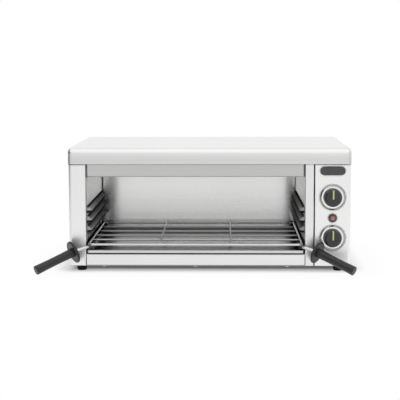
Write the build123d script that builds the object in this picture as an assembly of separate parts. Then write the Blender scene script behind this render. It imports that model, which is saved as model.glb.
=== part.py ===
from build123d import *
import os

# A compact electric salamander grill that stands on a bench.
# X runs to the right, Y runs to the back and Z runs up, all in millimetres.
# The origin is the middle of the cabinet's footprint on the bench.

# Cabinet
lid_depth = 330.0
lid_lip = 34.5
lid_nose_radius = 12.0
lid_side_radius = 8.0
lid_fit = 0.2
body_height = 255.0
sheet = 1.0
bend_radius = 2.5
seam = 0.5
fit = 0.2
column_width = 37.3
column_return = 14.0
strip_width = 19.4
control_width = 78.1
rear_flange = 20.0
lower_flange = 14.0
cavity_width = 472.3
rear_space = 26.0
rail_height = 25.2
rail_flange = 15.0
liner_flange = 20.0
liner_top_gap = 16.0
liner_corner_gap = 2.0
fascia_height = 28.1
fascia_cover = 11.0
fascia_recess = 4.0
fascia_flange = 14.0
fascia_end_gap = 1.5

# Feet
foot_height = 12.0
foot_top_diameter = 24.0
foot_tread_diameter = 19.0
foot_side_inset = 25.0
foot_end_gap = 4.5
foot_edge_radius = 1.5
foot_sink_diameter = 10.0
foot_sink_depth = 5.0

# Screws
screw_diameter = 4.0
screw_head_diameter = 7.5
screw_head_height = 2.4
screw_head_round = 1.2
screw_grip = 5.0
hole_clearance = 0.2
base_screw_end_gap = 37.65
base_screw_count = 3
back_screw_end_gap = 18.25
back_screw_count = 3
lid_screw_rise = 14.0
foot_nut_across = 7.0
foot_nut_height = 3.2

# Runners, ledges and the wire rack
runner_count = 3
runner_height = 15.4
runner_pitch = 21.4
runner_proud = 10.5
runner_nose = 4.5
runner_round = 2.0
runner_front_inset = 17.0
runner_rear_gap = 17.0
runner_end_slope = 9.0
ledge_height = 20.0
ledge_width = 15.0
ledge_rear_gap = 3.0
first_runner_gap = 24.0
rack_wire = 5.0
rack_side_gap = 6.65
rack_rear_gap = 19.6
rack_corner = 9.0
rack_bar = 4.5
rack_bar_count = 4
cross_wire = 3.0
cross_wire_count = 2
rack_front_proud = 10.0
rack_lift = 0.3
weld_sink = 0.4
butt_sink = 1.3

# Handles at the rack's front corners
handle_rod = 6.0
handle_ledge_gap = 9.0
handle_turn_radius = 10.0
handle_knee_radius = 20.0
handle_knee_out = 23.3
handle_knee_forward = 9.1
handle_knee_down = 6.0
handle_outward = 0.80
handle_forward = 0.51
handle_down = 0.337
handle_bare_rod = 7.3
handle_rod_bury = 60.0
guard_diameter = 49.0
guard_thickness = 5.5
guard_rim_round = 2.0
guard_hub_diameter = 24.0
guard_hub_length = 3.0
grip_diameter = 20.0
grip_waist_diameter = 18.4
grip_length = 89.7
grip_end_round = 1.6
bore_clearance = 0.05

# Crumb tray
tray_sheet = 0.8
tray_side_gap = 3.0
tray_rear_gap = 5.0
tray_height = 8.7
tray_lift = 0.3
tray_corner = 4.0
tray_front_inset = 7.0
tray_lip_height = 6.5
tray_lip_depth = 5.0
tray_lip_round = 2.0
tray_lip_proud = 4.5

# Heating elements, reflector and insulation
element_tube = 8.0
element_count = 2
element_front_inset = 68.0
element_rear_inset = 53.6
element_left_gap = 28.0
element_tail = 24.0
element_drop = 11.0
element_pin = 4.0
element_pin_length = 9.0
reflector_rise = 17.4
reflector_slope_run = 18.0
reflector_front_lap = 10.0
reflector_rear_drop = 10.0
reflector_rear_run = 11.0
bushing_diameter = 14.0
bushing_flange_diameter = 18.0
bushing_flange = 3.0
bushing_length = 12.0
hanger_thickness = 1.5
hanger_margin = 8.0
hanger_flange = 10.0
hanger_height = 16.0
hanger_left_inset = 77.0
hanger_right_inset = 147.0
insulation_gap = 0.3
top_insulation_gap = 5.9
insulation_margin = 6.0
insulation_round = 4.0
side_insulation_drop = 36.0

# Controls, with heights as shares of the panel below the lid
upper_knob_share = 0.6735
lower_knob_share = 0.2766
lamp_share = 0.4717
bezel_diameter = 52.0
bezel_thickness = 1.2
bezel_rim_width = 2.0
bezel_rim_height = 1.0
knob_gap = 0.8
knob_diameter = 40.0
knob_shoulder_diameter = 35.5
knob_face_diameter = 29.5
knob_skirt = 3.0
knob_height = 17.0
knob_bevel = 3.2
knob_recess_diameter = 22.0
knob_recess_depth = 5.5
pointer_width = 3.2
pointer_tail = 2.0
pointer_depth = 2.6
shaft_diameter = 6.0
shaft_flat = 1.2
shaft_knob_depth = 8.0
shaft_switch_depth = 14.0
bush_diameter = 10.0
bush_proud = 4.4
bush_nut_across = 14.0
bush_nut_height = 2.4
regulator_width = 36.0
regulator_height = 42.0
regulator_depth = 30.0
regulator_round = 2.0
regulator_plate_width = 30.0
regulator_plate_height = 52.0
regulator_plate = 1.5
tab_width = 6.3
tab_thickness = 0.8
tab_length = 9.0
tab_count = 3
lamp_diameter = 16.0
lamp_flange = 1.5
lamp_dome_diameter = 12.5
lamp_dome_height = 5.0
lamp_dome_round = 2.0
lamp_barrel_diameter = 12.0
lamp_barrel_length = 26.0
lamp_nut_across = 17.0
lamp_nut_height = 3.0

# Supply side
gland_rise = 32.0
gland_bore = 9.0
gland_thread = 16.0
gland_hex = 22.0
gland_hex_height = 5.0
gland_dome_diameter = 20.0
gland_dome_length = 12.0
gland_dome_round = 3.0
gland_nut_height = 4.0
block_side_gap = 2.05
block_width = 24.0
block_height = 18.0
block_groove_depth = 5.0
block_groove_width = 2.0
block_poles = 5
block_rear_gap = 50.0
lead_diameter = 3.0
lead_bend = 9.0
lead_spread = 4.0
vent_slots = 9
vent_end_gap = 9.5
vent_width = 4.5
vent_pitch = 12.0

# Places that the sizes above set
body_width = column_width + cavity_width + strip_width + seam + control_width
lid_width = body_width + 2 * (sheet + lid_fit)
body_depth = lid_depth - 2 * (sheet + lid_fit)
left, right = -body_width / 2, body_width / 2
front, back = -body_depth / 2, body_depth / 2
skirt = foot_height + sheet
lid_top = skirt + body_height
panel_top = lid_top - lid_nose_radius - sheet
lid_edge = lid_top - lid_lip
panel_height = lid_edge - skirt
cavity_left = left + column_width
cavity_right = cavity_left + cavity_width
cavity_middle = (cavity_left + cavity_right) / 2
cavity_depth = body_depth - rear_space
cavity_back = front + cavity_depth
strip_end = cavity_right + strip_width
control_start = strip_end + seam
control_middle = (control_start + right) / 2
deck_top = skirt + rail_height
ledge_top = deck_top + ledge_height
liner_top = panel_top - liner_top_gap
fascia_front = front + fascia_recess
fascia_bottom = lid_edge - fascia_height
reflector_seat = fascia_bottom + sheet
reflector_roof = reflector_seat + reflector_rise
element_height = reflector_roof - element_drop
rack_height = ledge_top + rack_lift + rack_wire / 2
rack_front = front - rack_front_proud
rack_width = cavity_width - 2 * rack_side_gap
rack_depth = cavity_depth + rack_front_proud - rack_rear_gap
element_leg_pitch = (cavity_depth - element_front_inset - element_rear_inset) / (2 * element_count - 1)
foot_end_inset = column_return + seam + sheet + foot_end_gap
base_screw_pitch = (cavity_width - 2 * base_screw_end_gap) / (base_screw_count - 1)
back_screw_pitch = (panel_height - 2 * back_screw_end_gap) / (back_screw_count - 1)
back_panel_face = back - sheet
corner_radius = lid_side_radius - sheet - lid_fit
upper_knob_height = skirt + upper_knob_share * panel_height
lower_knob_height = skirt + lower_knob_share * panel_height
lamp_height = skirt + lamp_share * panel_height
gland_height = skirt + gland_rise
block_length = control_width - 2 * (lower_flange + block_side_gap)
tab_pitch = block_length / block_poles
vent_length = right - rear_flange - cavity_right - sheet - 2 * vent_end_gap


def bent_sheet(plane, length, points, side=Side.LEFT, bend=bend_radius, thickness=sheet):
    """A folded sheet: a line with rounded bends, thickened to one side and run along the plane's normal."""
    line = FilletPolyline(*points, radius=bend)
    outline = offset(line, amount=thickness, side=side)
    return extrude(plane * make_face(outline.edges()), amount=length, dir=plane.z_dir)


def turned(points):
    """A solid of revolution about Z, from the (radius, height) points of its half profile."""
    return revolve(Plane.XZ * make_face(Polyline(*points, close=True)), Axis.Z)


def rod(diameter, length):
    """A round bar along +Z that starts on the origin."""
    return extrude(Circle(diameter / 2), amount=length)


def hole(diameter, length):
    """A round cutter along Z that passes the origin by its length on both sides."""
    return extrude(Circle(diameter / 2), amount=length, both=True)


def block(low, high):
    """A box between two corners."""
    size = [b - a for a, b in zip(low, high)]
    return Pos(*low) * Box(*size, align=Align.MIN)


def facing_front(x, z, y=front):
    """A plane whose normal points out of the cabinet's front, with its Y upwards."""
    return Plane((x, y, z), x_dir=(1, 0, 0), z_dir=(0, -1, 0))


def facing_back(x, z, y):
    """A plane whose normal points out of the cabinet's back."""
    return Plane((x, y, z), x_dir=(-1, 0, 0), z_dir=(0, 1, 0))


def pan_screw():
    """A pan-head screw whose head stands on the origin's plane and whose shank runs down."""
    head = rod(screw_head_diameter, screw_head_height)
    head = fillet(head.edges().sort_by(Axis.Z)[-1], screw_head_round)
    return head + Pos(0, 0, -screw_grip) * rod(screw_diameter, screw_grip)


def screw_holes(places):
    return [place * hole(screw_diameter + 2 * hole_clearance, screw_grip) for place in places]


def group(shapes):
    return Compound(children=list(shapes))


# Casing

def lid_block(inset):
    profile = Pos(0, lid_top - (lid_lip + inset) / 2) * Rectangle(lid_depth - 2 * inset, lid_lip - inset)
    profile = fillet(profile.vertices().group_by(Axis.Y)[-1], lid_nose_radius - inset)
    width = lid_width - 2 * inset
    solid = extrude(Plane.YZ.offset(-width / 2) * profile, amount=width, dir=(1, 0, 0))
    ends = solid.faces().sort_by(Axis.X)
    edges = [edge for face in (ends[0], ends[-1]) for edge in face.edges()]
    upper = [edge for edge in edges if edge.center().Z > lid_edge + sheet]
    return fillet(upper, lid_side_radius - inset)


def top_cover():
    return lid_block(0) - lid_block(sheet) - screw_holes(lid_screw_places())


def rear_flange_middles():
    inset = (corner_radius + rear_flange) / 2
    return left + inset, right - inset


def rear_screw_places():
    middle = (skirt + lid_edge) / 2
    for x in rear_flange_middles():
        for step in range(back_screw_count):
            height = middle + (step - (back_screw_count - 1) / 2) * back_screw_pitch
            yield facing_back(x, height, back).location


def lid_screw_places():
    for x in rear_flange_middles():
        yield facing_back(x, lid_edge + lid_screw_rise, lid_depth / 2).location


def rear_holes():
    return screw_holes(rear_screw_places()) + screw_holes(lid_screw_places())


def foot_flange(west, east):
    """The flange at a side's lower edge, turned in to lie on the base plate."""
    low = (west, front + corner_radius, skirt)
    return block(low, (east, back - corner_radius, skirt + sheet))


def left_side_panel():
    points = [
        (left + rear_flange, back),
        (left, back),
        (left, front),
        (cavity_left, front),
        (cavity_left, front + column_return),
    ]
    bends = [corner_radius, corner_radius, bend_radius]
    panel = bent_sheet(Plane.XY.offset(skirt), panel_top - skirt, points, bend=bends)
    panel += foot_flange(left, left + lower_flange)
    return panel - rear_holes() - screw_holes(base_screw_places())


def control_casing():
    points = [
        (control_start, front + column_return),
        (control_start, front),
        (right, front),
        (right, back),
        (right - rear_flange, back),
    ]
    bends = [bend_radius, corner_radius, corner_radius]
    casing = bent_sheet(Plane.XY.offset(skirt), panel_top - skirt, points, bend=bends)
    casing += foot_flange(right - lower_flange, right)
    for height in (upper_knob_height, lower_knob_height):
        cutter = hole(bush_diameter + 2 * hole_clearance, column_return)
        casing -= facing_front(control_middle, height).location * cutter
    lamp_hole = hole(lamp_barrel_diameter + 2 * hole_clearance, column_return)
    casing -= facing_front(control_middle, lamp_height).location * lamp_hole
    return casing - rear_holes() - screw_holes(base_screw_places())


def gland_place():
    return facing_back(control_middle, gland_height, back_panel_face).location


def back_panel():
    reach = corner_radius + fit
    panel = block(
        (left + reach, back_panel_face - sheet, skirt),
        (right - reach, back_panel_face, panel_top),
    )
    slot = extrude(SlotOverall(vent_length, vent_width), amount=rear_flange, both=True)
    middle = (gland_height + lid_edge) / 2
    vent_middle = (cavity_right + sheet + right - rear_flange) / 2
    for step in range(vent_slots):
        height = middle + (step - (vent_slots - 1) / 2) * vent_pitch
        panel -= facing_back(vent_middle, height, back_panel_face).location * slot
    panel -= gland_place() * hole(gland_thread + 2 * hole_clearance, rear_flange)
    return panel - rear_holes()


def foot_places():
    for y in (front + foot_end_inset, back - foot_end_inset):
        for x in (left + foot_side_inset, right - foot_side_inset):
            yield Pos(x, y, 0)


def base_screw_places():
    inset = rail_flange / 2 + sheet
    rail = [
        (cavity_middle + (step - (base_screw_count - 1) / 2) * base_screw_pitch, front + inset)
        for step in range(base_screw_count)
    ]
    sides = [
        (x, y)
        for x in (left + lower_flange / 2, right - lower_flange / 2)
        for y in (front + inset, back - inset)
    ]
    for x, y in rail + sides:
        yield Pos(x, y, foot_height) * Rot(180, 0, 0)


def base_plate():
    plate = block(
        (left + sheet, front + sheet, foot_height),
        (right - sheet, back - sheet, skirt),
    )
    plate = fillet(plate.edges().filter_by(Axis.Z), corner_radius - sheet)
    plate -= [place * hole(screw_diameter + 2 * hole_clearance, 2 * skirt) for place in foot_places()]
    return plate - screw_holes(base_screw_places())


def cavity_floor():
    points = [
        (front + rail_flange, skirt),
        (front, skirt),
        (front, deck_top),
        (cavity_back - fit, deck_top),
    ]
    length = cavity_width - 2 * seam
    floor = bent_sheet(Plane.YZ.offset(cavity_left + seam), length, points, side=Side.RIGHT)
    return floor - screw_holes(base_screw_places())


def left_liner():
    start = front + column_return + seam
    points = [
        (cavity_left - liner_flange, start),
        (cavity_left, start),
        (cavity_left, cavity_back),
    ]
    return bent_sheet(Plane.XY.offset(skirt), liner_top - skirt, points)


def element_places():
    """The depths of each element's near and far leg."""
    for pair in range(element_count):
        near = front + element_front_inset + pair * 2 * element_leg_pitch
        yield near, near + element_leg_pitch


def right_liner():
    points = [
        (strip_end, front + column_return),
        (strip_end, front),
        (cavity_right, front),
        (cavity_right, cavity_back),
    ]
    liner = bent_sheet(Plane.XY.offset(skirt), panel_top - skirt, points, side=Side.RIGHT)
    for legs in element_places():
        for y in legs:
            cutter = hole(bushing_diameter + 2 * hole_clearance, bushing_length)
            liner -= Pos(cavity_right, y, element_height) * Rot(0, 90, 0) * cutter
    return liner


def back_liner():
    points = [
        (cavity_back + liner_flange, skirt),
        (cavity_back, skirt),
        (cavity_back, liner_top),
        (cavity_back + liner_flange, liner_top),
    ]
    plane = Plane.YZ.offset(cavity_left + liner_corner_gap)
    return bent_sheet(plane, cavity_width - liner_corner_gap, points, side=Side.RIGHT)


def front_fascia():
    top = lid_edge + fascia_cover
    points = [
        (fascia_front + fascia_flange, top),
        (fascia_front, top),
        (fascia_front, fascia_bottom),
        (fascia_front + fascia_flange, fascia_bottom),
    ]
    plane = Plane.YZ.offset(cavity_left + fascia_end_gap)
    return bent_sheet(plane, cavity_width - 2 * fascia_end_gap, points)


# Runners, ledges and tray

def runner(wall, inward):
    """One pressed runner: a hollow bar that slopes out of a side wall to a blunt nose at its foot."""
    start = front + runner_front_inset
    end = cavity_back - runner_rear_gap

    def body(inset):
        depth = runner_proud - inset
        section = make_face(Polyline(
            (0, inset),
            (depth, inset),
            (depth, runner_nose),
            (0, runner_height - inset),
            close=True,
        ))
        section = fillet(section.vertices().group_by(Axis.X)[-1], runner_round - inset)
        plan = make_face(Polyline(
            (0, start + inset),
            (depth, start + runner_end_slope + inset),
            (depth, end - runner_end_slope - inset),
            (0, end - inset),
            close=True,
        ))
        bar = extrude(Plane.XZ * section, amount=body_depth, both=True)
        return bar & extrude(plan, amount=runner_height)

    bar = body(0) - body(sheet)
    return Pos(wall, 0, 0) * (bar if inward > 0 else mirror(bar, about=Plane.YZ))


def rack_runners(wall, inward):
    first = ledge_top + first_runner_gap
    bar = runner(wall, inward)
    return group(Pos(0, 0, first + step * runner_pitch) * bar for step in range(runner_count))


def rack_ledge(wall, inward):
    points = [
        (wall, deck_top),
        (wall, ledge_top),
        (wall + inward * ledge_width, ledge_top),
    ]
    start = front + runner_front_inset
    length = cavity_back - ledge_rear_gap - start
    plane = Plane((0, start, 0), x_dir=(1, 0, 0), z_dir=(0, -1, 0))
    side = Side.RIGHT if inward > 0 else Side.LEFT
    ledge = bent_sheet(plane, length, points, side=side)
    return Pos(0, length, 0) * ledge


def crumb_tray():
    low = deck_top + tray_lift
    high = low + tray_height
    west, east = cavity_left + tray_side_gap, cavity_right - tray_side_gap
    south, north = front + tray_front_inset, cavity_back - tray_rear_gap
    outer = block((west, south, low), (east, north, high))
    outer = fillet(outer.edges().filter_by(Axis.Z), tray_corner)
    inner = block(
        (west + tray_sheet, south + tray_sheet, low + tray_sheet),
        (east - tray_sheet, north - tray_sheet, high + tray_height),
    )
    inner = fillet(inner.edges().filter_by(Axis.Z), tray_corner - tray_sheet)
    lip_back = front - tray_lip_proud + tray_lip_depth
    lip = block((west, front - tray_lip_proud, high - tray_lip_height), (east, lip_back, high))
    lip = fillet(lip.edges().filter_by(Axis.X).group_by(Axis.Y)[0], tray_lip_round)
    lip = fillet(lip.edges().filter_by(Axis.Z).group_by(Axis.Y)[0], tray_lip_round)
    lip += block((west, lip_back, high - tray_sheet), (east, south + tray_corner, high))
    return outer - inner + (lip - inner)


# Wire rack and handles

def rack_corners():
    west = cavity_middle - rack_width / 2
    return west, west + rack_width, rack_front, rack_front + rack_depth


def rack_frame():
    west, east, near, far = rack_corners()
    middle = Pos((west + east) / 2, (near + far) / 2, rack_height)
    line = (middle * RectangleRounded(rack_width, rack_depth, rack_corner)).wires()[0]
    return sweep(Plane(line @ 0, z_dir=line % 0) * Circle(rack_wire / 2), path=line)


def rack_bars():
    """The bars from side to side, butt welded between the frame's sides."""
    west, east, near, far = rack_corners()
    reach = rack_wire / 2 - butt_sink
    bar = Rot(0, 90, 0) * rod(rack_bar, rack_width - 2 * reach)
    pitch = rack_depth / (rack_bar_count + 1)
    return group(
        Pos(west + reach, near + step * pitch, rack_height) * bar
        for step in range(1, rack_bar_count + 1)
    )


def rack_cross_wires():
    """The thinner wires that lie across the bars, welded where they touch."""
    west, east, near, far = rack_corners()
    height = rack_height + (rack_bar + cross_wire) / 2 - weld_sink
    wire = Rot(-90, 0, 0) * rod(cross_wire, rack_depth)
    pitch = rack_width / (cross_wire_count + 1)
    return group(Pos(west + step * pitch, near, height) * wire for step in range(1, cross_wire_count + 1))


def handle_line(hand):
    """The rod's start under the side wire, its two bends and its last direction: hand is -1 on the left."""
    west, east, near, far = rack_corners()
    height = rack_height - (rack_wire + handle_rod) / 2 + weld_sink
    turn = Vector(east if hand > 0 else west, near, height)
    start = Vector(turn.X, front + runner_front_inset - handle_ledge_gap, height)
    knee = turn + Vector(hand * handle_knee_out, -handle_knee_forward, -handle_knee_down)
    direction = Vector(hand * handle_outward, -handle_forward, -handle_down).normalized()
    return start, turn, knee, direction


def handle_plane(hand):
    """The plane at the guard's inner face, with its normal along the rod."""
    start, turn, knee, direction = handle_line(hand)
    return Plane(knee + direction * handle_bare_rod, z_dir=direction)


def handle_rod_wire(hand):
    start, turn, knee, direction = handle_line(hand)
    end = knee + direction * (handle_bare_rod + guard_thickness + handle_rod_bury)
    path = FilletPolyline(start, turn, knee, end, radius=[handle_turn_radius, handle_knee_radius])
    return sweep(Plane(start, z_dir=path % 0) * Circle(handle_rod / 2), path=path)


def rod_hole(length):
    return Pos(0, 0, -length) * rod(handle_rod + 2 * bore_clearance, 2 * length)


def handle_guard(hand):
    disc = rod(guard_diameter, guard_thickness)
    disc = fillet(disc.edges(), guard_rim_round)
    hub = Pos(0, 0, -guard_hub_length) * rod(guard_hub_diameter, guard_hub_length)
    hub = fillet(hub.edges().sort_by(Axis.Z)[0], guard_rim_round)
    return handle_plane(hand).location * (disc + hub - rod_hole(guard_diameter))


def handle_grip(hand):
    radius, waist = grip_diameter / 2, grip_waist_diameter / 2
    profile = make_face(
        Polyline((0, grip_length), (0, 0), (radius, 0))
        + ThreePointArc((radius, 0), (waist, grip_length / 2), (radius, grip_length))
        + Line((radius, grip_length), (0, grip_length))
    )
    grip = revolve(Plane.XZ * profile, Axis.Z)
    grip = fillet(grip.edges().filter_by(GeomType.CIRCLE).sort_by(Axis.Z)[-1], grip_end_round)
    grip -= rod_hole(handle_rod_bury)
    return handle_plane(hand).location * Pos(0, 0, guard_thickness) * grip


# Heating

def reflector():
    points = [
        (reflector_start(), reflector_seat),
        (reflector_start() + reflector_front_lap, reflector_seat),
        (reflector_start() + reflector_front_lap + reflector_slope_run, reflector_roof),
        (reflector_end() - reflector_rear_run, reflector_roof),
        (reflector_end(), reflector_roof - reflector_rear_drop),
    ]
    plane = Plane.YZ.offset(cavity_left + fit)
    return bent_sheet(plane, cavity_width - 2 * fit, points)


def reflector_start():
    return fascia_front + sheet + bend_radius


def reflector_end():
    return cavity_back - fit - sheet


def heating_element(legs):
    near, far = legs
    turn = cavity_left + element_left_gap + (far - near) / 2
    tail = cavity_right + element_tail
    wire = Wire([
        Line((tail, near, element_height), (turn, near, element_height)),
        ThreePointArc(
            (turn, near, element_height),
            (turn - (far - near) / 2, (near + far) / 2, element_height),
            (turn, far, element_height),
        ),
        Line((turn, far, element_height), (tail, far, element_height)),
    ])
    tube = sweep(Plane(wire @ 0, z_dir=wire % 0) * Circle(element_tube / 2), path=wire)
    for y in legs:
        tube += Pos(tail, y, element_height) * Rot(0, 90, 0) * rod(element_pin, element_pin_length)
    return tube


def element_bushings():
    bushing = rod(bushing_diameter, bushing_length)
    bushing += Pos(0, 0, bushing_length / 2 + sheet / 2) * rod(bushing_flange_diameter, bushing_flange)
    bushing -= hole(element_tube + 2 * bore_clearance, bushing_length)
    start = cavity_right + sheet - (bushing_length + sheet) / 2
    return group(
        Pos(start, y, element_height) * Rot(0, 90, 0) * bushing
        for legs in element_places()
        for y in legs
    )


def element_hangers():
    hangers = []
    for near, far in element_places():
        for x in (cavity_left + hanger_left_inset, cavity_right - hanger_right_inset):
            low = (x, near - hanger_margin, reflector_roof - hanger_height)
            high = (x + hanger_thickness, far + hanger_margin, reflector_roof)
            plate = block(low, high)
            plate += block(
                (x, near - hanger_margin, reflector_roof - hanger_thickness),
                (x + hanger_flange, far + hanger_margin, reflector_roof),
            )
            for y in (near, far):
                cutter = hole(element_tube + 2 * bore_clearance, hanger_flange)
                plate -= Pos(x, y, element_height) * Rot(0, 90, 0) * cutter
            hangers.append(plate)
    return group(hangers)


def top_insulation():
    low = reflector_roof + sheet + insulation_gap
    start = reflector_start() + reflector_front_lap + reflector_slope_run
    end = reflector_end() - reflector_rear_run - insulation_margin
    slab = block(
        (cavity_left + insulation_margin, start, low),
        (cavity_right - insulation_margin, end, lid_top - sheet - top_insulation_gap),
    )
    return fillet(slab.edges().filter_by(Axis.Z), insulation_round)


def left_insulation():
    gap = sheet + insulation_gap
    slab = block(
        (left + gap, front + foot_end_inset + insulation_margin, skirt + gap),
        (cavity_left - gap, cavity_back - insulation_margin, liner_top - side_insulation_drop),
    )
    return fillet(slab.edges().filter_by(Axis.Z), insulation_round)


def rear_insulation():
    start = cavity_back + sheet + insulation_gap
    gap = bend_radius + insulation_gap
    slab = block(
        (cavity_left + insulation_margin, start, skirt + gap),
        (cavity_right - insulation_margin, cavity_back + liner_flange, liner_top - gap),
    )
    return fillet(slab.edges().filter_by(Axis.Z), insulation_round)


# Controls

def control_place(height):
    return facing_front(control_middle, height).location


def bezel(height):
    rim = bezel_diameter / 2
    ring = turned([
        (bush_diameter / 2 + hole_clearance, 0),
        (rim, 0),
        (rim, bezel_thickness),
        (rim - bezel_rim_width / 2, bezel_thickness + bezel_rim_height),
        (rim - bezel_rim_width, bezel_thickness),
        (bush_diameter / 2 + hole_clearance, bezel_thickness),
    ])
    return control_place(height) * ring


def bush_nuts():
    nut = extrude(RegularPolygon(bush_nut_across / 2, 6, major_radius=False), amount=bush_nut_height)
    nut -= hole(bush_diameter + 2 * bore_clearance, bush_nut_height)
    nut = Pos(0, 0, bezel_thickness) * nut
    return group(control_place(height) * nut for height in (upper_knob_height, lower_knob_height))


def regulator(height):
    behind = -sheet - regulator_plate
    plate = RectangleRounded(regulator_plate_width, regulator_plate_height, regulator_round)
    case = RectangleRounded(regulator_width, regulator_height, regulator_round)
    switch = Pos(0, 0, behind) * extrude(plate, amount=regulator_plate)
    switch += Pos(0, 0, behind - regulator_depth) * extrude(case, amount=regulator_depth)
    switch += Pos(0, 0, behind) * rod(bush_diameter, bush_proud - behind)
    for step in range(tab_count):
        x = (step - (tab_count - 1) / 2) * tab_pitch
        tab = Box(tab_thickness, tab_width, tab_length, align=(Align.CENTER, Align.CENTER, Align.MAX))
        switch += Pos(x, 0, behind - regulator_depth) * tab
    bore = rod(shaft_diameter + 2 * bore_clearance, shaft_switch_depth - behind + bush_proud)
    switch -= Pos(0, 0, behind - shaft_switch_depth) * bore
    return control_place(height) * switch


def knob_base():
    return bezel_thickness + knob_gap


def knob_body():
    top = knob_base() + knob_height
    return turned([
        (0, knob_base()),
        (knob_diameter / 2, knob_base()),
        (knob_diameter / 2, knob_base() + knob_skirt),
        (knob_shoulder_diameter / 2, top - knob_bevel),
        (knob_face_diameter / 2, top),
        (0, top),
    ])


def pointer_bar(clearance):
    top = knob_base() + knob_height
    return block(
        (-pointer_width / 2 - clearance, -pointer_tail - clearance, top - pointer_depth - clearance),
        (pointer_width / 2 + clearance, knob_diameter / 2 + clearance, top + pointer_depth),
    )


def d_bar(clearance, low, high):
    """The shaft's D section over a stretch of its length."""
    radius = shaft_diameter / 2 + clearance
    bar = Pos(0, 0, low) * rod(2 * radius, high - low)
    flat = shaft_diameter / 2 - shaft_flat + clearance
    return bar - block((-radius, flat, low), (radius, 2 * radius, high))


def shaft_end():
    return knob_base() + knob_recess_depth + shaft_knob_depth


def knob(height):
    solid = knob_body()
    solid -= rod(knob_recess_diameter, knob_base() + knob_recess_depth)
    solid -= d_bar(bore_clearance, knob_base(), shaft_end() + bore_clearance)
    return control_place(height) * (solid - pointer_bar(bore_clearance))


def knob_pointer(height):
    return control_place(height) * (knob_body() & pointer_bar(0))


def shaft(height):
    split = bush_proud + bore_clearance
    low = -sheet - regulator_plate - shaft_switch_depth + bore_clearance
    bar = Pos(0, 0, low) * rod(shaft_diameter, split - low)
    return control_place(height) * (bar + d_bar(0, split, shaft_end()))


def lamp_lens():
    cap = Pos(0, 0, lamp_flange) * rod(lamp_dome_diameter, lamp_dome_height)
    cap = fillet(cap.edges().sort_by(Axis.Z)[-1], lamp_dome_round)
    return control_place(lamp_height) * (rod(lamp_diameter, lamp_flange) + cap)


def lamp_body():
    barrel = rod(lamp_barrel_diameter, lamp_barrel_length)
    return control_place(lamp_height) * Pos(0, 0, -lamp_barrel_length) * barrel


def lamp_nut():
    nut = extrude(RegularPolygon(lamp_nut_across / 2, 6, major_radius=False), amount=lamp_nut_height)
    nut -= hole(lamp_barrel_diameter + 2 * bore_clearance, lamp_nut_height)
    return control_place(lamp_height) * Pos(0, 0, -sheet - lamp_nut_height) * nut


# Supply side

def cable_gland():
    body = extrude(RegularPolygon(gland_hex / 2, 6, major_radius=False), amount=gland_hex_height)
    dome = Pos(0, 0, gland_hex_height) * rod(gland_dome_diameter, gland_dome_length)
    dome = fillet(dome.edges().sort_by(Axis.Z)[-1], gland_dome_round)
    thread_length = sheet + gland_nut_height
    thread = Pos(0, 0, -thread_length) * rod(gland_thread, thread_length)
    bore = hole(gland_bore, gland_hex_height + gland_dome_length)
    return gland_place() * (body + dome + thread - bore)


def gland_nut():
    nut = extrude(RegularPolygon(gland_hex / 2, 6, major_radius=False), amount=gland_nut_height)
    nut -= hole(gland_thread + 2 * bore_clearance, gland_nut_height)
    return gland_place() * Pos(0, 0, -sheet - gland_nut_height) * nut


def block_depth():
    return back_panel_face - block_rear_gap


def terminal_block():
    low = (control_middle - block_length / 2, block_depth() - block_width / 2, skirt)
    high = (control_middle + block_length / 2, block_depth() + block_width / 2, skirt + block_height)
    solid = block(low, high)
    for step in range(1, block_poles):
        x = low[0] + step * block_length / block_poles
        solid -= block(
            (x - block_groove_width / 2, low[1], high[2] - block_groove_depth),
            (x + block_groove_width / 2, high[1], high[2]),
        )
    return solid


def lead(points):
    path = FilletPolyline(*points, radius=lead_bend)
    return sweep(Plane(path @ 0, z_dir=path % 0) * Circle(lead_diameter / 2), path=path)


def wiring_leads():
    """Two leads from each regulator to its element, and one from each to the terminal block."""
    leads = []
    start = front + sheet + regulator_plate + regulator_depth + tab_length
    pin_end = cavity_right + element_tail + element_pin_length
    block_top = skirt + block_height
    heights = (upper_knob_height, lower_knob_height)
    spreads = (lead_spread, -lead_spread)
    for height, legs, spread in zip(heights, element_places(), spreads):
        for x, y in zip((control_middle - tab_pitch, control_middle), legs):
            leads.append(lead([
                (x, start, height),
                (x, y, height),
                (x, y, element_height),
                (pin_end, y, element_height),
            ]))
        x, y = control_middle + tab_pitch, block_depth() + spread
        leads.append(lead([(x, start, height), (x, y, height), (x, y, block_top)]))
    return group(leads)


# Feet and screws

def foot():
    radius, tread = foot_top_diameter / 2, foot_tread_diameter / 2
    body = turned([(0, 0), (tread, 0), (radius, foot_height), (0, foot_height)])
    body = fillet(body.edges().filter_by(GeomType.CIRCLE).sort_by(Axis.Z)[0], foot_edge_radius)
    body -= rod(foot_sink_diameter, foot_sink_depth)
    return body - rod(screw_diameter + 2 * hole_clearance, foot_height)


def foot_screws():
    length = foot_height - foot_sink_depth + screw_grip
    head = Pos(0, 0, foot_sink_depth - screw_head_height) * rod(screw_head_diameter, screw_head_height)
    screw = head + Pos(0, 0, foot_sink_depth) * rod(screw_diameter, length)
    return group(place * screw for place in foot_places())


def foot_nuts():
    nut = extrude(RegularPolygon(foot_nut_across / 2, 6, major_radius=False), amount=foot_nut_height)
    nut -= hole(screw_diameter + 2 * bore_clearance, foot_nut_height)
    return group(place * Pos(0, 0, skirt) * nut for place in foot_places())


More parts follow.
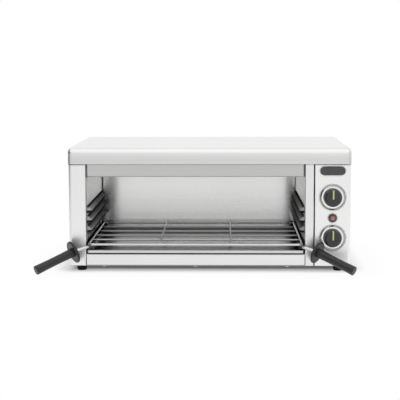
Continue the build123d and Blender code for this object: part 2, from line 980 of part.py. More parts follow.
pieces = {
    "top_cover": top_cover(),
    "left_side_panel": left_side_panel(),
    "control_casing": control_casing(),
    "back_panel": back_panel(),
    "base_plate": base_plate(),
    "cavity_floor": cavity_floor(),
    "left_liner": left_liner(),
    "right_liner": right_liner(),
    "back_liner": back_liner(),
    "front_fascia": front_fascia(),
    "left_rack_runners": rack_runners(cavity_left, 1),
    "right_rack_runners": rack_runners(cavity_right, -1),
    "left_rack_ledge": rack_ledge(cavity_left, 1),
    "right_rack_ledge": rack_ledge(cavity_right, -1),
    "crumb_tray": crumb_tray(),
    "rack_frame": rack_frame(),
    "rack_bars": rack_bars(),
    "rack_cross_wires": rack_cross_wires(),
    "reflector": reflector(),
    "element_bushings": element_bushings(),
    "element_hangers": element_hangers(),
    "top_insulation": top_insulation(),
    "left_insulation": left_insulation(),
    "rear_insulation": rear_insulation(),
    "bush_nuts": bush_nuts(),
    "pilot_lamp_lens": lamp_lens(),
    "pilot_lamp_body": lamp_body(),
    "pilot_lamp_nut": lamp_nut(),
    "cable_gland": cable_gland(),
    "gland_nut": gland_nut(),
    "terminal_block": terminal_block(),
    "wiring_leads": wiring_leads(),
    "foot_screws": foot_screws(),
    "foot_nuts": foot_nuts(),
    "base_screws": group(place * pan_screw() for place in base_screw_places()),
    "back_screws": group(place * pan_screw() for place in rear_screw_places()),
    "lid_screws": group(place * pan_screw() for place in lid_screw_places()),
}
for name, legs in zip(("front", "rear"), element_places()):
    pieces[name + "_heating_element"] = heating_element(legs)
for name, hand in (("left", -1), ("right", 1)):
    pieces[name + "_handle_rod"] = handle_rod_wire(hand)
    pieces[name + "_handle_guard"] = handle_guard(hand)
    pieces[name + "_handle_grip"] = handle_grip(hand)
for name, height in (("upper", upper_knob_height), ("lower", lower_knob_height)):
    pieces[name + "_bezel"] = bezel(height)
    pieces[name + "_regulator"] = regulator(height)
    pieces[name + "_shaft"] = shaft(height)
    pieces[name + "_knob"] = knob(height)
    pieces[name + "_knob_pointer"] = knob_pointer(height)
for name, place in zip(("front_left", "front_right", "rear_left", "rear_right"), foot_places()):
    pieces[name + "_foot"] = place * foot()

os.makedirs("parts", exist_ok=True)
for name, shape in pieces.items():
    export_step(shape, os.path.join("parts", name + ".step"))
print(len(pieces), "pieces")
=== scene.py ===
import math
import bmesh
import bpy
from mathutils import Matrix, Vector


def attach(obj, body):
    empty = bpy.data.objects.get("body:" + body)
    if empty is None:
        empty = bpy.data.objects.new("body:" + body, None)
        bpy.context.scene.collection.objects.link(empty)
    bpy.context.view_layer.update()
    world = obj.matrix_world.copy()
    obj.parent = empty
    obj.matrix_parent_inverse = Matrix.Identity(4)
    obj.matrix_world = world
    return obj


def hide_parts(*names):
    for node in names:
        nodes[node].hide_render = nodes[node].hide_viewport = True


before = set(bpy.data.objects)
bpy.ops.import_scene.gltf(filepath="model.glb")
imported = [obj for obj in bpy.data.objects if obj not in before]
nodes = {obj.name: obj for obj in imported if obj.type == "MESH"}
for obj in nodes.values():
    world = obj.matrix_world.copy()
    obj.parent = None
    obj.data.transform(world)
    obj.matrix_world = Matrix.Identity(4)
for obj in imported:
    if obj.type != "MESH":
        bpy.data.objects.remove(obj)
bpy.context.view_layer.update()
scene = bpy.context.scene
scene.view_settings.view_transform = "Standard"
print("frame loaded with", len(nodes), "nodes")

# camera, fitted to the cabinet's edges
photoCamera = {
    "lens": 93.46,
    "sensor": 36,
    "place": (0.03487, -2.379, 0.4616),
    "pitch": 5.0,      # degrees below the horizon
    "yaw": 1.411,      # degrees towards the left
    "roll": -0.165,
    "shiftY": -0.1294,
}


def turnAbout(axis, degrees):
    return Matrix.Rotation(math.radians(degrees), 4, axis)


def placeCamera(look):
    data = bpy.data.cameras.new("photoCamera")
    data.lens = look["lens"]
    data.sensor_width = look["sensor"]
    data.shift_y = look["shiftY"]
    camera = bpy.data.objects.new("photoCamera", data)
    turn = turnAbout("Z", look["yaw"])
    tilt = turnAbout("X", 90 - look["pitch"])
    roll = turnAbout("Z", look["roll"])
    camera.matrix_world = Matrix.Translation(look["place"]) @ turn @ tilt @ roll
    scene.collection.objects.link(camera)
    scene.camera = camera


placeCamera(photoCamera)


# mesh helpers
def makeMesh(name, shape):
    mesh = bpy.data.meshes.new(name)
    shape.to_mesh(mesh)
    shape.free()
    return mesh


def addObject(name, shape, material):
    mesh = makeMesh(name, shape)
    mesh.materials.append(material)
    item = bpy.data.objects.new(name, mesh)
    scene.collection.objects.link(item)
    return item


def pick(items, kind):
    return [item for item in items if isinstance(item, kind)]


# node helpers
def emptyTree(owner):
    owner.use_nodes = True
    owner.node_tree.nodes.clear()
    return owner.node_tree


def addNode(tree, kind, inputs=(), **settings):
    node = tree.nodes.new(kind)
    for key, value in settings.items():
        setattr(node, key, value)
    for key, value in dict(inputs).items():
        if isinstance(value, bpy.types.NodeSocket):
            tree.links.new(value, node.inputs[key])
        else:
            node.inputs[key].default_value = value
    return node


def addMath(tree, operation, *values):
    return addNode(tree, "ShaderNodeMath", dict(enumerate(values)), operation=operation).outputs[0]


def addVectorMath(tree, operation, *values):
    node = addNode(tree, "ShaderNodeVectorMath", dict(enumerate(values)), operation=operation)
    return node.outputs["Value" if operation == "LENGTH" else "Vector"]


def multiplyTones(tree, first, second):
    mix = {0: 1.0, 6: first, 7: second}      # share, then the two colours
    return addNode(tree, "ShaderNodeMix", mix, data_type="RGBA", blend_type="MULTIPLY").outputs[2]


def grey(tone):
    return (tone, tone, tone)


def rampTone(tree, factor, stops):
    ramp = addNode(tree, "ShaderNodeValToRGB", {"Fac": factor})
    elements = ramp.color_ramp.elements
    while len(elements) < len(stops):
        elements.new(0.5)
    for element, (place, colour) in zip(elements, stops):
        element.position = place
        element.color = (*colour, 1)
    return ramp.outputs[0]


def rampGrey(tree, factor, stops):
    return rampTone(tree, factor, [(place, grey(tone)) for place, tone in stops])


def seenDirectly(tree):
    path = addNode(tree, "ShaderNodeLightPath")
    total = addMath(tree, "ADD", path.outputs["Is Camera Ray"], path.outputs["Is Glossy Ray"])
    return addMath(tree, "ADD", total, path.outputs["Is Transmission Ray"])


# studio: white surround, soft lamps, grey boards and a pale floor
studio = {
    "ambient": 0.82,       # the surround's light on matt surfaces
    "floorTone": 0.86,
    "floorLift": 0.05,     # added where the floor is seen
    "floorHalf": 9.0,
    "footprint": (0.290, 0.127),
    # how far the floor has turned into the white surround, by metres from the cabinet's foot
    "fade": [(0.0, 0.0), (0.010, 0.20), (0.031, 0.45), (0.054, 0.92), (0.120, 1.0)],
}
lamps = {
    "overheadSoftbox": {"place": (0.0, -1.2, 2.0), "aim": (0, 0, 0.1), "size": (2.6, 2.2), "power": 4.5},
    "frontSoftbox": {"place": (0.5, -2.7, 1.2), "aim": (0, 0, 0.1), "size": (1.8, 1.2), "power": 1},
    "rightSoftbox": {"place": (2.2, -1.6, 0.8), "aim": (0, 0, 0.1), "size": (2.4, 1.8), "power": 2},
}
# seen only in the steel, which needs them for its darker edges
boards = {
    "leftBoard": {"place": (-1.6, -0.7, 0.8), "aim": (0, -0.7, 0.8), "size": (3.4, 1.6), "tone": 0.16},
    "rightBoard": {"place": (2.6, -1.6, 0.8), "aim": (0, 0, 0.8), "size": (2.8, 1.6), "tone": 0.62},
}


def aimObject(item, look, front):
    item.location = look["place"]
    item.rotation_euler = (Vector(look["aim"]) - item.location).to_track_quat(front, "Y").to_euler()


def lightWorld(look):
    world = bpy.data.worlds.new("whiteSurround")
    tree = emptyTree(world)
    strength = addMath(tree, "MULTIPLY_ADD", seenDirectly(tree), 1 - look["ambient"], look["ambient"])
    back = addNode(tree, "ShaderNodeBackground", {"Color": (1, 1, 1, 1), "Strength": strength})
    addNode(tree, "ShaderNodeOutputWorld", {"Surface": back.outputs[0]})
    scene.world = world


def addLamp(name, look):
    data = bpy.data.lights.new(name, "AREA")
    data.shape = "RECTANGLE"
    data.size, data.size_y = look["size"]
    data.energy = look["power"]
    lamp = bpy.data.objects.new(name, data)
    aimObject(lamp, look, "-Z")
    scene.collection.objects.link(lamp)


def addFloor(look):
    material = bpy.data.materials.new("paleFloor")
    tree = emptyTree(material)
    matt = addNode(tree, "ShaderNodeBsdfDiffuse", {"Color": (*grey(look["floorTone"]), 1)})
    seen = addMath(tree, "MINIMUM", seenDirectly(tree), 1.0)
    lift = addMath(tree, "MULTIPLY", seen, look["floorLift"])
    glow = addNode(tree, "ShaderNodeEmission", {"Strength": lift})
    near = addNode(tree, "ShaderNodeAddShader", {0: matt.outputs[0], 1: glow.outputs[0]})
    far = addNode(tree, "ShaderNodeEmission", {"Strength": 1.0})
    coords = addNode(tree, "ShaderNodeTexCoord").outputs["Object"]
    beyond = addVectorMath(tree, "SUBTRACT", addVectorMath(tree, "ABSOLUTE", coords), (*look["footprint"], 0))
    distance = addVectorMath(tree, "LENGTH", addVectorMath(tree, "MAXIMUM", beyond, (0, 0, 0)))
    fade = addMath(tree, "MULTIPLY", rampGrey(tree, distance, look["fade"]), seen)
    whole = addNode(tree, "ShaderNodeMixShader", {0: fade, 1: near.outputs[0], 2: far.outputs[0]})
    addNode(tree, "ShaderNodeOutputMaterial", {"Surface": whole.outputs[0]})
    shape = bmesh.new()
    bmesh.ops.create_grid(shape, x_segments=2, y_segments=2, size=look["floorHalf"])
    floor = addObject("floor", shape, material)


def addBoard(name, look):
    material = bpy.data.materials.new(name)
    tree = emptyTree(material)
    matt = addNode(tree, "ShaderNodeBsdfDiffuse", {"Color": (*grey(look["tone"]), 1)})
    addNode(tree, "ShaderNodeOutputMaterial", {"Surface": matt.outputs[0]})
    shape = bmesh.new()
    bmesh.ops.create_grid(shape, x_segments=1, y_segments=1, size=0.5)
    bmesh.ops.scale(shape, vec=(*look["size"], 1), verts=shape.verts)
    board = addObject(name, shape, material)
    aimObject(board, look, "Z")
    board.visible_camera = False


lightWorld(studio)
for lampName, lampLook in lamps.items():
    addLamp(lampName, lampLook)
addFloor(studio)
for boardName, boardLook in boards.items():
    addBoard(boardName, boardLook)
print("studio lit")

# the part of a noise's range that is spread over roughness and over the two tones of a finish
noiseReach = {"rough": (0.3, 0.7), "steel": (0.34, 0.66), "mottle": (0.35, 0.65)}
fineDetail = 3.0


# finishes
def startMaterial(name, shaderInputs):
    material = bpy.data.materials.new(name)
    tree = emptyTree(material)
    shader = addNode(tree, "ShaderNodeBsdfPrincipled", shaderInputs)
    addNode(tree, "ShaderNodeOutputMaterial", {"Surface": shader.outputs[0]})
    return material, tree, shader


def objectCoords(tree, scale=(1, 1, 1), centre=(0, 0, 0)):
    coords = addNode(tree, "ShaderNodeTexCoord").outputs["Object"]
    place = [-size * middle for size, middle in zip(scale, centre)]
    inputs = {"Vector": coords, "Scale": scale, "Location": place}
    return addNode(tree, "ShaderNodeMapping", inputs).outputs[0]


def addNoise(tree, scale, detail=2.0):
    inputs = {"Vector": objectCoords(tree, scale), "Scale": 1.0, "Detail": detail}
    return addNode(tree, "ShaderNodeTexNoise", inputs).outputs[0]


def shade(colour, gain):
    return tuple(min(1.0, channel * gain) for channel in colour)


def twoTones(tree, factor, look, reach):
    gains = (1 - look["contrast"], 1 + look["contrast"])
    return rampTone(tree, factor, [(place, shade(look["tone"], gain)) for place, gain in zip(reach, gains)])


def roughen(tree, shader, factor, look):
    fromLow, fromHigh = noiseReach["rough"]
    low, high = look["roughness"]
    inputs = {"Value": factor, "From Min": fromLow, "From Max": fromHigh, "To Min": low, "To Max": high}
    tree.links.new(addNode(tree, "ShaderNodeMapRange", inputs).outputs[0], shader.inputs["Roughness"])


def addBump(tree, shader, height, look):
    inputs = {"Strength": look["bump"], "Distance": look["height"], "Height": height}
    tree.links.new(addNode(tree, "ShaderNodeBump", inputs).outputs[0], shader.inputs["Normal"])


def grainScale(look, longer=1, wider=1):
    scale = [look["across"] / wider] * 3
    scale["XYZ".index(look["grain"])] = look["along"] / longer
    return scale


def paintedLightTone(tree, look):
    # painted light and shade: darker or brighter along one axis
    low, high = look["reach"]
    along = addNode(tree, "ShaderNodeSeparateXYZ", {0: objectCoords(tree)}).outputs[look["axis"]]
    share = addNode(tree, "ShaderNodeMapRange", {"Value": along, "From Min": low, "From Max": high}).outputs[0]
    return rampGrey(tree, share, [((place - low) / (high - low), gain) for place, gain in look["gains"]])


def paintedShadeTone(tree, look):
    # painted shade: darker where ambient occlusion finds nearby surfaces, in seams, corners and under overhangs
    reach = {"Distance": look["paintedShadeReach"]}
    corner = addNode(tree, "ShaderNodeAmbientOcclusion", reach, samples=look["paintedShadeSamples"]).outputs["AO"]
    return rampGrey(tree, corner, [(look["paintedShadeFrom"], look["paintedShade"]), (look["paintedShadeTo"], 1)])


def brushedSteel(name, look):
    # grain runs along one axis: long thin streaks over broad, faint clouds
    gloss = {"Metallic": look["metallic"], "Anisotropic": look["anisotropy"],
             "Specular IOR Level": look["specular"]}
    material, tree, shader = startMaterial(name, gloss)
    fine = addNoise(tree, grainScale(look), fineDetail)
    broad = addNoise(tree, grainScale(look, *look["broad"]))
    cloud = addNoise(tree, [look["cloud"]] * 3)
    fineShare, broadShare, cloudShare = look["shares"]
    streak = addMath(tree, "MULTIPLY_ADD", fine, fineShare, addMath(tree, "MULTIPLY", broad, broadShare))
    grain = addMath(tree, "MULTIPLY_ADD", cloud, cloudShare, streak)
    tone = twoTones(tree, grain, look, noiseReach["steel"])
    # painted light and shade along one axis, where the look gives it
    if look["paintedLight"]:
        tone = multiplyTones(tree, tone, paintedLightTone(tree, look["paintedLight"]))
    # painted shade in seams, corners and under overhangs
    tone = multiplyTones(tree, tone, paintedShadeTone(tree, look))
    tree.links.new(tone, shader.inputs["Base Color"])
    roughen(tree, shader, grain, look)
    addBump(tree, shader, fine, look)
    tangent = addNode(tree, "ShaderNodeTangent", direction_type="RADIAL", axis=look["grain"])
    tree.links.new(tangent.outputs[0], shader.inputs["Tangent"])
    return material


mottleShares = {"speck": 0.6, "cloud": 0.4}


def mottled(name, look, shaderInputs):
    # speckle, cloud and moulded grain for matt and glossy solids
    material, tree, shader = startMaterial(name, shaderInputs)
    speck = addNoise(tree, [look["speck"]] * 3, fineDetail)
    cloud = addNoise(tree, [look["cloud"]] * 3)
    clouded = addMath(tree, "MULTIPLY", cloud, mottleShares["cloud"])
    mottle = addMath(tree, "MULTIPLY_ADD", speck, mottleShares["speck"], clouded)
    tree.links.new(twoTones(tree, mottle, look, noiseReach["mottle"]), shader.inputs["Base Color"])
    roughen(tree, shader, cloud, look)
    addBump(tree, shader, speck, look)
    return material


sheetLook = {
    "tone": (0.77, 0.77, 0.765), "contrast": 0.04, "metallic": 1.0, "specular": 0.5,
    "grain": "X", "along": 1.5, "across": 1100.0, "cloud": 7.0,
    "broad": (3, 5),                # broad streaks, so many times longer and wider
    "shares": (0.5, 0.3, 0.2),      # of fine streaks, broad streaks and clouds
    "roughness": (0.26, 0.34), "anisotropy": 0.6, "bump": 0.12, "height": 0.00004,
    # painted shade by ambient occlusion: darker in seams, corners and under overhangs
    "paintedShade": 0.10, "paintedShadeFrom": 0.62, "paintedShadeTo": 0.97, "paintedShadeReach": 0.005, "paintedShadeSamples": 6,
    "paintedLight": None,
}
lidPaintedReflection = {
    # painted reflection: the front lip darker below the bright nose, for the darker floor it mirrors
    "axis": "Z", "reach": (0.2335, 0.268),
    "gains": [(0.2335, 0.86), (0.2380, 0.83), (0.2480, 0.85), (0.2580, 0.98), (0.2640, 1.0)],
}
trayPaintedLight = {
    # painted light and shade: a bright band across the middle for the back wall it mirrors, darker towards the
    # back and just inside the front wall where shade falls
    "axis": "Y", "reach": (-0.170, 0.130),
    "gains": [(-0.170, 0.70), (-0.162, 0.70), (-0.160, 0.26), (-0.084, 0.32),
              (-0.070, 1.11), (0.025, 1.11), (0.055, 0.42), (0.130, 0.22)],
}
runnerPaintedShade = {
    # painted shade: dark lines on each runner's blunt foot and along the top edge, and darker below the lowest
    # runner
    "axis": "Z", "reach": (0.080, 0.142),
    "gains": [(0.0800, 0.30), (0.0812, 0.04), (0.0867, 0.04), (0.0877, 1.05),
              (0.1000, 0.90), (0.1026, 0.04), (0.1081, 0.04), (0.1091, 1.05),
              (0.1214, 0.90), (0.1240, 0.04), (0.1295, 0.04), (0.1305, 1.05),
              (0.1364, 0.95), (0.1374, 0.10)],
}
# what each steel has of its own
# the shade values below set how dark each steel's painted shade in seams and under overhangs is
steels = {
    "lidSteel": {"tone": (0.82, 0.82, 0.815), "roughness": (0.34, 0.42), "anisotropy": 0.5,
                 "paintedShade": 0.05, "paintedShadeFrom": 0.85, "paintedLight": lidPaintedReflection},
    "columnSteel": {"grain": "Z", "tone": (0.93, 0.93, 0.925), "contrast": 0.025,
                    "roughness": (0.36, 0.44), "anisotropy": 0.5, "paintedShade": 0.05, "paintedShadeFrom": 0.85},
    # the fascia's darker tone is painted shade, for its recess under the lid's lip
    "fasciaPaintedShadeSteel": {"tone": (0.54, 0.54, 0.535), "paintedShade": 0.05, "paintedShadeFrom": 0.85},
    "stripSteel": {"grain": "Z", "tone": (0.82, 0.82, 0.815), "contrast": 0.03},
    "sideWallSteel": {"grain": "Z", "tone": (0.67, 0.67, 0.665), "contrast": 0.05, "roughness": (0.2, 0.28),
                      "paintedShade": 0.18, "paintedShadeFrom": 0.45, "paintedShadeReach": 0.03},
    "backWallSteel": {"tone": (0.91, 0.91, 0.905), "roughness": (0.19, 0.25), "anisotropy": 0.95},
    "deckSteel": {"tone": (0.80, 0.80, 0.795)},
    "traySteel": {"tone": (0.90, 0.90, 0.895), "contrast": 0.08, "roughness": (0.20, 0.28),
                  "paintedShade": 0.6, "paintedLight": trayPaintedLight},
    "runnerSteel": {"grain": "Y", "tone": (0.64, 0.64, 0.635), "metallic": 0.0, "specular": 0.0,
                    "paintedShade": 0.05, "paintedShadeFrom": 0.5, "paintedShadeReach": 0.020, "paintedLight": runnerPaintedShade},
    "reflectorSteel": {"tone": (0.26, 0.26, 0.25), "contrast": 0.10, "roughness": (0.36, 0.48)},
    "zincSteel": {"tone": (0.46, 0.47, 0.48), "roughness": (0.35, 0.5), "anisotropy": 0.2},
}
finishes = {name: brushedSteel(name, {**sheetLook, **change}) for name, change in steels.items()}

bareMetal = {"Metallic": 1.0}
solids = {
    "rackChrome": ({"tone": grey(0.62), "speck": 500, "cloud": 30, "contrast": 0.04,
                    "roughness": (0.10, 0.18), "bump": 0.05, "height": 0.00002}, bareMetal),
    "barChrome": ({"tone": grey(0.58), "speck": 500, "cloud": 30, "contrast": 0.06,
                   "roughness": (0.30, 0.38), "bump": 0.05, "height": 0.00002}, bareMetal),
    "bezelChrome": ({"tone": grey(0.84), "speck": 700, "cloud": 40, "contrast": 0.03,
                     "roughness": (0.16, 0.24), "bump": 0.05, "height": 0.00002}, bareMetal),
    "sheathSteel": ({"tone": (0.10, 0.098, 0.094), "speck": 400, "cloud": 25, "contrast": 0.25,
                     "roughness": (0.45, 0.6), "bump": 0.2, "height": 0.00005}, bareMetal),
    "turnedSteel": ({"tone": grey(0.55), "speck": 900, "cloud": 60, "contrast": 0.08,
                     "roughness": (0.25, 0.38), "bump": 0.1, "height": 0.00003}, bareMetal),
    "screwZinc": ({"tone": grey(0.80), "speck": 900, "cloud": 80, "contrast": 0.08,
                   "roughness": (0.18, 0.28), "bump": 0.1, "height": 0.00003}, bareMetal),
    "gripPlastic": ({"tone": (0.022, 0.022, 0.023), "speck": 1500, "cloud": 40, "contrast": 0.18,
                     "roughness": (0.36, 0.46), "bump": 0.25, "height": 0.00008}, {}),
    "knobPlastic": ({"tone": (0.034, 0.034, 0.035), "speck": 1600, "cloud": 60, "contrast": 0.18,
                     "roughness": (0.38, 0.48), "bump": 0.2, "height": 0.00006}, {}),
    "pointerPlastic": ({"tone": (0.62, 0.68, 0.30), "speck": 1500, "cloud": 120, "contrast": 0.06,
                        "roughness": (0.35, 0.45), "bump": 0.1, "height": 0.00004}, {}),
    "weldMetal": ({"tone": grey(0.50), "speck": 900, "cloud": 200, "contrast": 0.2,
                   "roughness": (0.25, 0.4), "bump": 0.3, "height": 0.0001}, bareMetal),
    "switchPlastic": ({"tone": (0.10, 0.10, 0.105), "speck": 1200, "cloud": 50, "contrast": 0.15,
                       "roughness": (0.5, 0.6), "bump": 0.2, "height": 0.00006}, {}),
    "glandPlastic": ({"tone": (0.035, 0.035, 0.036), "speck": 1400, "cloud": 60, "contrast": 0.2,
                      "roughness": (0.45, 0.55), "bump": 0.25, "height": 0.00006}, {}),
    "blockPlastic": ({"tone": (0.72, 0.69, 0.60), "speck": 1200, "cloud": 60, "contrast": 0.06,
                      "roughness": (0.45, 0.55), "bump": 0.15, "height": 0.00005}, {}),
    "leadSleeve": ({"tone": (0.36, 0.29, 0.19), "speck": 1300, "cloud": 70, "contrast": 0.2,
                    "roughness": (0.7, 0.85), "bump": 0.5, "height": 0.00015}, {}),
    "footRubber": ({"tone": grey(0.009), "speck": 1300, "cloud": 50, "contrast": 0.25,
                    "roughness": (0.6, 0.75), "bump": 0.35, "height": 0.0001}, {"Specular IOR Level": 0.2}),
    "glazedCeramic": ({"tone": (0.80, 0.77, 0.69), "speck": 800, "cloud": 60, "contrast": 0.06,
                       "roughness": (0.2, 0.32), "bump": 0.1, "height": 0.00004}, {}),
    "fibreBlanket": ({"tone": (0.74, 0.70, 0.60), "speck": 350, "cloud": 40, "contrast": 0.12,
                      "roughness": (0.85, 0.95), "bump": 0.9, "height": 0.0008}, {"Sheen Weight": 0.3}),
    "badgeGrey": ({"tone": (0.066, 0.066, 0.068), "speck": 1500, "cloud": 60, "contrast": 0.12,
                   "roughness": (0.3, 0.4), "bump": 0.08, "height": 0.00003}, {}),
}
for finishName, (finishLook, shaderInputs) in solids.items():
    finishes[finishName] = mottled(finishName, finishLook, shaderInputs)

# red lamp lens; the paler middle of its dome is a painted highlight, the dark red rim the lens's own colour
lensLook = {
    "middle": (0.26475, -0.1638, 0.11701), "radius": 0.008, "roughness": (0.08, 0.16),
    "cloud": 160.0, "waver": 0.12,      # how far the cloud moves the rings
    "tintAndHighlightRings": [(0.0, (0.46, 0.24, 0.20)), (0.38, (0.40, 0.17, 0.14)), (0.66, (0.12, 0.022, 0.018)),
              (0.85, (0.055, 0.014, 0.012)), (1.0, (0.10, 0.03, 0.026))],
}


def lampLens(name, look):
    material, tree, shader = startMaterial(name, {"Coat Weight": 1.0})
    scale = (1 / look["radius"], 0, 1 / look["radius"])
    radius = addVectorMath(tree, "LENGTH", objectCoords(tree, scale, look["middle"]))
    cloud = addNoise(tree, [look["cloud"]] * 3)
    inner = addMath(tree, "SUBTRACT", radius, look["waver"] / 2)
    place = addMath(tree, "MULTIPLY_ADD", cloud, look["waver"], inner)
    tree.links.new(rampTone(tree, place, look["tintAndHighlightRings"]), shader.inputs["Base Color"])
    roughen(tree, shader, cloud, look)
    return material


finishes["lampRed"] = lampLens("lampRed", lensLook)

dressing = {
    "lidSteel": ["top_cover"],
    "columnSteel": ["left_side_panel", "control_casing", "back_panel"],
    "fasciaPaintedShadeSteel": ["front_fascia"],
    "stripSteel": ["right_liner"],
    "sideWallSteel": ["left_liner"],
    "backWallSteel": ["back_liner"],
    "deckSteel": ["cavity_floor"],
    "traySteel": ["crumb_tray"],
    "runnerSteel": ["left_rack_runners", "right_rack_runners", "left_rack_ledge", "right_rack_ledge"],
    "reflectorSteel": ["reflector"],
    "zincSteel": ["base_plate", "element_hangers"],
    "rackChrome": ["rack_frame", "left_handle_rod", "right_handle_rod"],
    "barChrome": ["rack_bars", "rack_cross_wires"],
    "bezelChrome": ["upper_bezel", "lower_bezel"],
    "sheathSteel": ["front_heating_element", "rear_heating_element"],
    "turnedSteel": ["upper_shaft", "lower_shaft", "bush_nuts", "pilot_lamp_nut"],
    "screwZinc": ["foot_screws", "foot_nuts", "base_screws", "back_screws", "lid_screws"],
    "gripPlastic": ["left_handle_guard", "right_handle_guard", "left_handle_grip", "right_handle_grip"],
    "knobPlastic": ["upper_knob", "lower_knob"],
    "pointerPlastic": ["upper_knob_pointer", "lower_knob_pointer"],
    "lampRed": ["pilot_lamp_lens"],
    "switchPlastic": ["upper_regulator", "lower_regulator", "pilot_lamp_body"],
    "glandPlastic": ["cable_gland", "gland_nut"],
    "blockPlastic": ["terminal_block"],
    "leadSleeve": ["wiring_leads"],
    "footRubber": ["front_left_foot", "front_right_foot", "rear_left_foot", "rear_right_foot"],
    "glazedCeramic": ["element_bushings"],
    "fibreBlanket": ["top_insulation", "left_insulation", "rear_insulation"],
}
for finishName, nodeNames in dressing.items():
    for nodeName in nodeNames:
        for slot in nodes[nodeName].material_slots:
            slot.material = finishes[finishName]
print("finishes:", len(finishes))


# new pieces
def finishPiece(name, shape, finish, body):
    bmesh.ops.recalc_face_normals(shape, faces=shape.faces)
    piece = addObject(name, shape, finishes[finish])
    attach(piece, body)
    return piece


# bare plate on the control panel
badge = {
    "middle": (0.26475, -0.1638, 0.2190), "length": 0.052, "height": 0.017, "thickness": 0.0012,
    "edge": 0.0004, "edgeSteps": 3, "rim": 0.0012, "sink": 0.0003, "segments": 36,
}


def makeBadge(look):
    shape = bmesh.new()
    radius = look["height"] / 2
    turn = turnAbout("Z", 180 / look["segments"])      # half a segment, so that no corner is on the middle line
    bmesh.ops.create_circle(shape, cap_ends=True, segments=look["segments"], radius=radius, matrix=turn)
    for vert in shape.verts:
        vert.co.x += math.copysign(look["length"] / 2 - radius, vert.co.x)
    made = bmesh.ops.extrude_face_region(shape, geom=shape.faces[:])
    top = pick(made["geom"], bmesh.types.BMVert)
    bmesh.ops.translate(shape, verts=top, vec=(0, 0, look["thickness"]))
    edges = [edge for edge in shape.edges if all(vert in top for vert in edge.verts)]
    bmesh.ops.bevel(shape, geom=edges, offset=look["edge"], affect="EDGES", segments=look["edgeSteps"],
                    profile=0.5, material=-1)
    face = max(shape.faces, key=lambda item: item.calc_center_median().z)
    bmesh.ops.inset_region(shape, faces=[face], thickness=look["rim"], depth=0)
    bmesh.ops.inset_region(shape, faces=[face], thickness=look["sink"], depth=-look["sink"])
    upright = Matrix.Translation(look["middle"]) @ turnAbout("X", 90)
    bmesh.ops.transform(shape, matrix=upright, verts=shape.verts)
    finishPiece("badge_plate", shape, "badgeGrey", "cabinet")


makeBadge(badge)
print("badge plate made")

# weld beads where the rack's wires and rods meet
welds = {
    "barEnds": (-0.25735, 0.19665),
    "barDepths": (-0.1154, -0.0570, 0.0014, 0.0598),
    "frameDepths": (-0.1738, 0.1182),
    "wirePlaces": (-0.10685, 0.04615),
    "barHeight": 0.0610,
    "crossHeight": 0.0631,
    "rodPlaces": (-0.25985, 0.19915),
    "rodMiddle": (-0.1605, 0.0584),     # depth and height of the rods' beads
    "rodReach": 0.0024,                 # from the rod's middle to the beads beside it
    # half sizes of the beads at bar ends, at crossings and along the rods
    "collar": (0.0012, 0.0027, 0.0026),
    "button": (0.0025, 0.0025, 0.0011),
    "seam": (0.0012, 0.0042, 0.0012),
    "ripple": 0.10,
    "waves": (9, 7, 300),               # of the ripple across and along a bead, and from bead to bead
}


def addBead(shape, middle, halfSizes, look):
    across, along, shift = look["waves"]
    made = bmesh.ops.create_icosphere(shape, subdivisions=3, radius=1.0)["verts"]
    for vert in made:
        wave = math.sin(across * vert.co.x + along * vert.co.y + shift * middle[1])
        vert.co *= 1 + look["ripple"] * wave
    bmesh.ops.scale(shape, vec=halfSizes, verts=made)
    bmesh.ops.translate(shape, vec=middle, verts=made)


def makeWelds(look):
    shape = bmesh.new()
    for depth in look["barDepths"]:
        for end in look["barEnds"]:
            addBead(shape, (end, depth, look["barHeight"]), look["collar"], look)
    for depth in look["barDepths"] + look["frameDepths"]:
        for place in look["wirePlaces"]:
            addBead(shape, (place, depth, look["crossHeight"]), look["button"], look)
    for place in look["rodPlaces"]:
        for side in (-1, 1):
            addBead(shape, (place + side * look["rodReach"], *look["rodMiddle"]), look["seam"], look)
    for face in shape.faces:
        face.smooth = True
    finishPiece("rack_welds", shape, "weldMetal", "rack")


makeWelds(welds)
print("rack welds made")

# pan-head screws with a cross recess
screwLook = {
    "headRadius": 0.00375, "headHeight": 0.0024, "round": 0.0012, "roundSteps": 5,
    "shankRadius": 0.0019, "shankLength": 0.0049,
    "slotLength": 0.0044, "slotWidth": 0.0010, "slotDepth": 0.0014,
    "segments": 36, "turnStep": 37,      # degrees from one screw's recess to the next
}
screwSets = {
    "base_screws": {"tilt": 180, "places": [(x, -0.1553, 0.012) for x in (-0.22885, -0.03035, 0.16815)]
                    + [(x, y, 0.012) for y in (-0.1553, 0.1553) for x in (-0.2968, 0.2968)]},
    "back_screws": {"tilt": -90, "places": [(x, 0.1638, z) for x in (-0.2904, 0.2904)
                                            for z in (0.03125, 0.12325, 0.21525)]},
    "lid_screws": {"tilt": -90, "places": [(x, 0.165, 0.2475) for x in (-0.2904, 0.2904)]},
}


def growLoop(shape, edges, radius, height):
    made = bmesh.ops.extrude_edge_only(shape, edges=edges)["geom"]
    for vert in pick(made, bmesh.types.BMVert):
        vert.co = (*(vert.co.xy.normalized() * radius), height)
    return pick(made, bmesh.types.BMEdge)


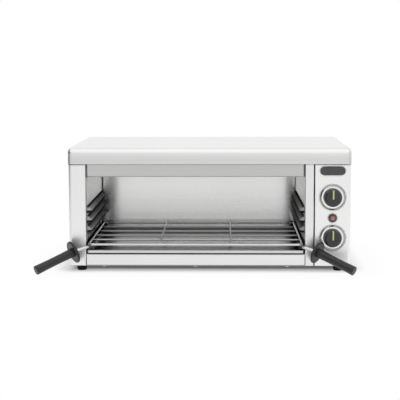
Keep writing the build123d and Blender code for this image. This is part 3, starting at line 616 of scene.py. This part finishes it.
def makeScrew(look):
    shape = bmesh.new()
    top, half, slot = look["headHeight"], look["slotLength"] / 2, look["slotWidth"] / 2
    # floor of the recess: a grid with narrow middle rows and no corners
    lift = Matrix.Translation((0, 0, top - look["slotDepth"]))
    bmesh.ops.create_grid(shape, x_segments=3, y_segments=3, size=half, matrix=lift)
    for vert in shape.verts:
        for axis in (0, 1):
            if abs(vert.co[axis]) < half / 2:
                vert.co[axis] = math.copysign(slot, vert.co[axis])
    corners = [face for face in shape.faces if min(abs(c) for c in face.calc_center_median().xy) > slot]
    bmesh.ops.delete(shape, geom=corners, context="FACES")
    rim = [edge for edge in shape.edges if edge.is_boundary]
    made = bmesh.ops.extrude_edge_only(shape, edges=rim)["geom"]
    bmesh.ops.translate(shape, vec=(0, 0, look["slotDepth"]), verts=pick(made, bmesh.types.BMVert))
    rim = pick(made, bmesh.types.BMEdge)
    # crown, rounded edge, head and shank
    crown = look["headRadius"] - look["round"]
    lift = Matrix.Translation((0, 0, top))
    ring = bmesh.ops.create_circle(shape, segments=look["segments"], radius=crown, matrix=lift)["verts"]
    edges = list({edge for vert in ring for edge in vert.link_edges})
    bmesh.ops.bridge_loops(shape, edges=rim + edges)
    for step in range(1, look["roundSteps"] + 1):
        angle = math.radians(90 / look["roundSteps"] * step)
        radius = crown + look["round"] * math.sin(angle)
        edges = growLoop(shape, edges, radius, top - look["round"] * (1 - math.cos(angle)))
    edges = growLoop(shape, edges, look["headRadius"], 0)
    edges = growLoop(shape, edges, look["shankRadius"], 0)
    edges = growLoop(shape, edges, look["shankRadius"], -look["shankLength"])
    bmesh.ops.holes_fill(shape, edges=edges)
    return makeMesh("panScrew", shape)


def makeScrewSet(name, look, screw):
    shape = bmesh.new()
    tilt = turnAbout("X", look["tilt"])
    for index, place in enumerate(look["places"]):
        known = len(shape.verts)
        shape.from_mesh(screw)
        shape.verts.ensure_lookup_table()
        spin = turnAbout("Z", screwLook["turnStep"] * index)
        bmesh.ops.transform(shape, matrix=Matrix.Translation(place) @ tilt @ spin, verts=shape.verts[known:])
    piece = finishPiece(name + "_detailed", shape, "screwZinc", "cabinet")
    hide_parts(name)


panScrew = makeScrew(screwLook)
for setName, setLook in screwSets.items():
    makeScrewSet(setName, setLook, panScrew)
bpy.data.meshes.remove(panScrew)
print("screws made")
